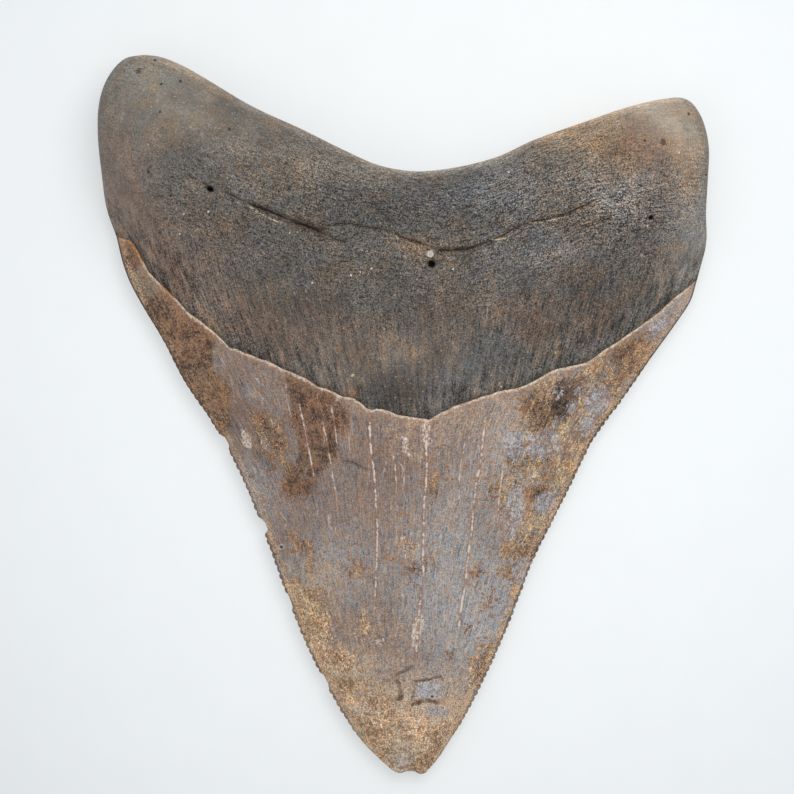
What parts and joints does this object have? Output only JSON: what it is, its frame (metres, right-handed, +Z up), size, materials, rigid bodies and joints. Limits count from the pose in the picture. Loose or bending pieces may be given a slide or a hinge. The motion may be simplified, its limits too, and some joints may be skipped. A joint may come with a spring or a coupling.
{
  "type": "megalodon tooth",
  "caption": "Fossil shark tooth: a broad serrated triangular crown with a low enamel ledge under a thick V-shaped root, lying flat.",
  "frame": {"origin": "under the middle of the tooth's box, on the surface that the tooth rests on", "axes": "+X across the tooth from the longer root lobe to the shorter one, +Y from the crown's tip to the root, +Z up out of the lingual face"},
  "size_m": [0.0764, 0.0901, 0.0187],
  "materials": {
    "fossil": "mineralised root, matt and finely porous; enamel of the crown satin, mauve grey with rust and ochre stains"
  },
  "bodies": {
    "root": {"tooth": "fossil"}
  },
  "joints": []
}
